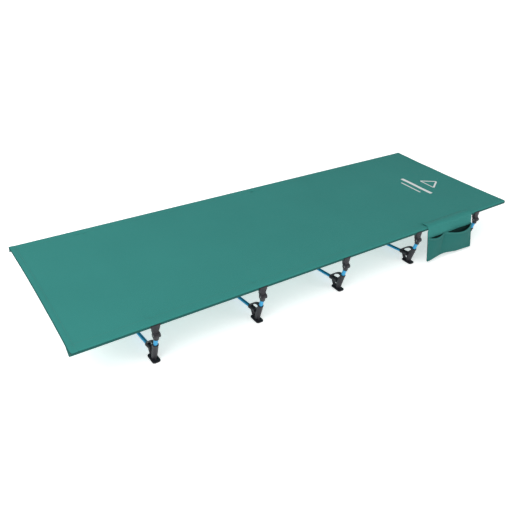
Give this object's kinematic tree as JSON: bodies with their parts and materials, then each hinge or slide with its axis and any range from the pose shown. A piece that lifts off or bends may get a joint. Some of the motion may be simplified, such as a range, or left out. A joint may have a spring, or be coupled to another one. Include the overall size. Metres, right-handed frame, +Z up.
{
  "type": "folding cot",
  "caption": "Low folding camp cot: a stretched cloth bed on two side poles, held close to the ground by bow legs with clips, with a side pocket.",
  "frame": {"origin": "centre of the bottom of the whole cot's box, on the floor; the pocket puts the bed's own centre line 11 mm towards +Y", "axes": "+X along the bed towards the head end, +Y across it away from the pocket, +Z up"},
  "size_m": [1.904, 0.6775, 0.1551],
  "materials": {
    "green_cloth": "matte",
    "blue_tube": "satin",
    "black_tube": "satin",
    "black_plastic": "satin"
  },
  "bodies": {
    "bed": {"bed_sheet": "green_cloth", "pocket_flap": "green_cloth"},
    "pocket": {"pocket_pouch": "green_cloth"},
    "side_pole_near": {"side_pole_near_1": "black_tube", "side_pole_near_2": "black_tube", "side_pole_near_3": "black_tube", "side_pole_near_4": "black_tube", "side_pole_near_5": "black_tube", "pole_plug_near": "black_plastic"},
    "side_pole_far": {"side_pole_far_1": "black_tube", "side_pole_far_2": "black_tube", "side_pole_far_3": "black_tube", "side_pole_far_4": "black_tube", "side_pole_far_5": "black_tube", "pole_plug_far": "black_plastic"},
    "leg_1": {"cross_rod_1": "blue_tube", "foot_near_1": "black_plastic", "upright_near_1": "blue_tube", "clip_head_near_1": "black_plastic", "foot_far_1": "black_plastic", "upright_far_1": "blue_tube", "clip_head_far_1": "black_plastic"},
    "jaw_near_1": {"clip_jaw_near_1": "black_plastic"},
    "jaw_far_1": {"clip_jaw_far_1": "black_plastic"},
    "leg_2": {"cross_rod_2": "blue_tube", "foot_near_2": "black_plastic", "upright_near_2": "blue_tube", "clip_head_near_2": "black_plastic", "foot_far_2": "black_plastic", "upright_far_2": "blue_tube", "clip_head_far_2": "black_plastic"},
    "jaw_near_2": {"clip_jaw_near_2": "black_plastic"},
    "jaw_far_2": {"clip_jaw_far_2": "black_plastic"},
    "leg_3": {"cross_rod_3": "blue_tube", "foot_near_3": "black_plastic", "upright_near_3": "blue_tube", "clip_head_near_3": "black_plastic", "foot_far_3": "black_plastic", "upright_far_3": "blue_tube", "clip_head_far_3": "black_plastic"},
    "jaw_near_3": {"clip_jaw_near_3": "black_plastic"},
    "jaw_far_3": {"clip_jaw_far_3": "black_plastic"},
    "leg_4": {"cross_rod_4": "blue_tube", "foot_near_4": "black_plastic", "upright_near_4": "blue_tube", "clip_head_near_4": "black_plastic", "foot_far_4": "black_plastic", "upright_far_4": "blue_tube", "clip_head_far_4": "black_plastic"},
    "jaw_near_4": {"clip_jaw_near_4": "black_plastic"},
    "jaw_far_4": {"clip_jaw_far_4": "black_plastic"},
    "leg_5": {"cross_rod_5": "blue_tube", "foot_near_5": "black_plastic", "upright_near_5": "blue_tube", "clip_head_near_5": "black_plastic", "foot_far_5": "black_plastic", "upright_far_5": "blue_tube", "clip_head_far_5": "black_plastic"},
    "jaw_near_5": {"clip_jaw_near_5": "black_plastic"},
    "jaw_far_5": {"clip_jaw_far_5": "black_plastic"}
  },
  "joints": [
    {"name": "pocket_swing", "type": "hinge", "parent": "bed", "child": "pocket", "pos_m": [0.587, -0.307, 0.1405], "axis": [-1, 0, 0], "range_deg": [0, 70]},
    {"name": "side_pole_near_slide", "type": "slide", "parent": "bed", "child": "side_pole_near", "axis": [1, 0, 0], "range_m": [0, 1.9]},
    {"name": "side_pole_far_slide", "type": "slide", "parent": "bed", "child": "side_pole_far", "axis": [1, 0, 0], "range_m": [0, 1.9]},
    {"name": "leg_1_unclip", "type": "slide", "parent": "bed", "child": "leg_1", "axis": [0, 0, 1], "range_m": [-0.03, 0]},
    {"name": "leg_2_unclip", "type": "slide", "parent": "bed", "child": "leg_2", "axis": [0, 0, 1], "range_m": [-0.03, 0]},
    {"name": "leg_3_unclip", "type": "slide", "parent": "bed", "child": "leg_3", "axis": [0, 0, 1], "range_m": [-0.03, 0]},
    {"name": "leg_4_unclip", "type": "slide", "parent": "bed", "child": "leg_4", "axis": [0, 0, 1], "range_m": [-0.03, 0]},
    {"name": "leg_5_unclip", "type": "slide", "parent": "bed", "child": "leg_5", "axis": [0, 0, 1], "range_m": [-0.03, 0]},
    {"name": "jaw_near_1_open", "type": "hinge", "parent": "leg_1", "child": "jaw_near_1", "pos_m": [-0.701, -0.3063, 0.1105], "axis": [1, 0, 0], "range_deg": [0, 65]},
    {"name": "jaw_far_1_open", "type": "hinge", "parent": "leg_1", "child": "jaw_far_1", "pos_m": [-0.701, 0.3283, 0.1105], "axis": [-1, 0, 0], "range_deg": [0, 65]},
    {"name": "jaw_near_2_open", "type": "hinge", "parent": "leg_2", "child": "jaw_near_2", "pos_m": [-0.324, -0.3063, 0.1105], "axis": [1, 0, 0], "range_deg": [0, 65]},
    {"name": "jaw_far_2_open", "type": "hinge", "parent": "leg_2", "child": "jaw_far_2", "pos_m": [-0.324, 0.3283, 0.1105], "axis": [-1, 0, 0], "range_deg": [0, 65]},
    {"name": "jaw_near_3_open", "type": "hinge", "parent": "leg_3", "child": "jaw_near_3", "pos_m": [0.036, -0.3063, 0.1105], "axis": [1, 0, 0], "range_deg": [0, 65]},
    {"name": "jaw_far_3_open", "type": "hinge", "parent": "leg_3", "child": "jaw_far_3", "pos_m": [0.036, 0.3283, 0.1105], "axis": [-1, 0, 0], "range_deg": [0, 65]},
    {"name": "jaw_near_4_open", "type": "hinge", "parent": "leg_4", "child": "jaw_near_4", "pos_m": [0.409, -0.3063, 0.1105], "axis": [1, 0, 0], "range_deg": [0, 65]},
    {"name": "jaw_far_4_open", "type": "hinge", "parent": "leg_4", "child": "jaw_far_4", "pos_m": [0.409, 0.3283, 0.1105], "axis": [-1, 0, 0], "range_deg": [0, 65]},
    {"name": "jaw_near_5_open", "type": "hinge", "parent": "leg_5", "child": "jaw_near_5", "pos_m": [0.761, -0.3063, 0.1105], "axis": [1, 0, 0], "range_deg": [0, 65]},
    {"name": "jaw_far_5_open", "type": "hinge", "parent": "leg_5", "child": "jaw_far_5", "pos_m": [0.761, 0.3283, 0.1105], "axis": [-1, 0, 0], "range_deg": [0, 65]}
  ]
}
